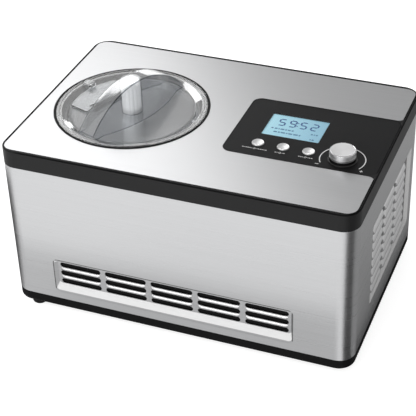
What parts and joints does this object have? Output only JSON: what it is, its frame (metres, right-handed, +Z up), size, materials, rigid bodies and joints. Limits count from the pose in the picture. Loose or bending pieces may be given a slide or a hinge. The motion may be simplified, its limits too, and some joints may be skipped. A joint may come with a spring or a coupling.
{
  "type": "ice cream maker",
  "caption": "Free-standing compressor ice cream maker with a steel case, clear arched lid, lift-out bowl and stirring paddle, display panel, push buttons and turning knob.",
  "frame": {"origin": "on the floor under the middle of the case, at the underside of the feet", "axes": "+X to the right of the case (the control side), along its longest side; +Y to the back; +Z up"},
  "size_m": [0.425, 0.283, 0.262],
  "materials": {
    "case_black": "satin",
    "foot_rubber": "matt",
    "screw_steel": "plated",
    "case_steel": "brushed along X",
    "fascia_black": "satin gloss",
    "lcd_lens": "clear",
    "lcd_panel": "pale blue display",
    "button_silver": "satin, dished",
    "knob_silver": "satin with a bright edge",
    "ring_black": "satin",
    "lid_clear": "clear moulded",
    "bowl_metal": "satin",
    "paddle_white": "smooth",
    "well_metal": "plain",
    "copper": "bare copper tube",
    "foam": "rigid foam",
    "shaft_steel": "ground",
    "bearing_bronze": "sintered",
    "pulley_nylon": "moulded",
    "belt_rubber": "matt",
    "motor_grey": "painted",
    "bracket_steel": "plated sheet",
    "compressor_black": "gloss black",
    "fin_aluminium": "plain",
    "board_green": "solder mask",
    "pin_metal": "plated"
  },
  "bodies": {
    "housing": {"base_tray": "case_black", "feet": "foot_rubber", "foot_screws": "screw_steel", "casing": "case_steel", "rear_panel": "case_steel", "rear_screws": "screw_steel", "top_frame": "case_black", "top_panel": "case_steel", "opening_ring": "ring_black", "front_grille": "case_steel", "side_grille": "case_steel", "control_fascia": "fascia_black", "lcd_window": "lcd_lens", "lcd_module": "lcd_panel", "tact_switches": "case_black", "control_board": "board_green", "board_screws": "screw_steel", "encoder_body": "motor_grey", "knob_collar": "fascia_black", "cooling_well": "well_metal", "evaporator_coil": "copper", "insulation": "foam", "drive_bearing": "bearing_bronze", "shaft_seal": "ring_black", "drive_belt": "belt_rubber", "drive_motor": "motor_grey", "drive_bracket": "bracket_steel", "bracket_posts": "bracket_steel", "compressor": "compressor_black", "compressor_grommets": "foot_rubber", "compressor_bolts": "screw_steel", "condenser_fins": "fin_aluminium", "condenser_tube": "copper", "fan_shroud": "case_black", "fan_motor": "motor_grey", "fan_bracket": "bracket_steel", "filter_drier": "copper", "refrigerant_lines": "copper", "power_inlet": "case_black", "inlet_screws": "pin_metal", "power_board": "board_green", "board_spacers": "pulley_nylon"},
    "bowl": {"bowl": "bowl_metal"},
    "lid": {"lid": "lid_clear", "flap_pin": "shaft_steel"},
    "flap": {"refill_flap": "lid_clear"},
    "paddle": {"paddle": "paddle_white"},
    "drive": {"drive_shaft": "shaft_steel", "drive_pulley": "pulley_nylon"},
    "motor_rotor": {"motor_shaft": "shaft_steel", "motor_pulley": "pulley_nylon"},
    "fan": {"fan_blade": "case_black"},
    "knob": {"knob_cap": "knob_silver", "knob_core": "case_black", "encoder_shaft": "shaft_steel"},
    "button_left": {"button_left": "button_silver"},
    "button_middle": {"button_middle": "button_silver"},
    "button_right": {"button_right": "button_silver"}
  },
  "joints": [
    {"name": "bowl_lift", "type": "slide", "parent": "housing", "child": "bowl", "axis": [0, 0, 1], "range_m": [0, 0.16]},
    {"name": "lid_lift", "type": "slide", "parent": "bowl", "child": "lid", "axis": [0, 0, 1], "range_m": [0, 0.1]},
    {"name": "flap_hinge", "type": "hinge", "parent": "lid", "child": "flap", "pos_m": [-0.13889, 0.00608, 0.2233], "axis": [0.319, 0.9478, 0], "range_deg": [0, 95]},
    {"name": "paddle_spin", "type": "hinge", "parent": "bowl", "child": "paddle", "pos_m": [-0.1024, -0.0062, 0.15], "axis": [0, 0, 1], "continuous": true},
    {"name": "drive_spin", "type": "hinge", "parent": "housing", "child": "drive", "pos_m": [-0.1024, -0.0062, 0.1], "axis": [0, 0, 1], "continuous": true},
    {"name": "motor_spin", "type": "hinge", "parent": "housing", "child": "motor_rotor", "pos_m": [0, -0.095, 0.08], "axis": [0, 0, 1], "continuous": true},
    {"name": "fan_spin", "type": "hinge", "parent": "housing", "child": "fan", "pos_m": [0.15, 0.017, 0.097], "axis": [1, 0, 0], "continuous": true},
    {"name": "knob_turn", "type": "hinge", "parent": "housing", "child": "knob", "pos_m": [0.1665, -0.038, 0.225], "axis": [0, 0, 1], "continuous": true},
    {"name": "press_left", "type": "slide", "parent": "housing", "child": "button_left", "axis": [0, 0, -1], "range_m": [0, 0.001], "stiffness_N_per_m": 300, "springref_m": -0.0005},
    {"name": "press_middle", "type": "slide", "parent": "housing", "child": "button_middle", "axis": [0, 0, -1], "range_m": [0, 0.001], "stiffness_N_per_m": 300, "springref_m": -0.0005},
    {"name": "press_right", "type": "slide", "parent": "housing", "child": "button_right", "axis": [0, 0, -1], "range_m": [0, 0.001], "stiffness_N_per_m": 300, "springref_m": -0.0005}
  ],
  "couplings": [
    {"joint": "paddle_spin", "follows": "drive_spin", "ratio": 1},
    {"joint": "motor_spin", "follows": "drive_spin", "ratio": 4}
  ]
}
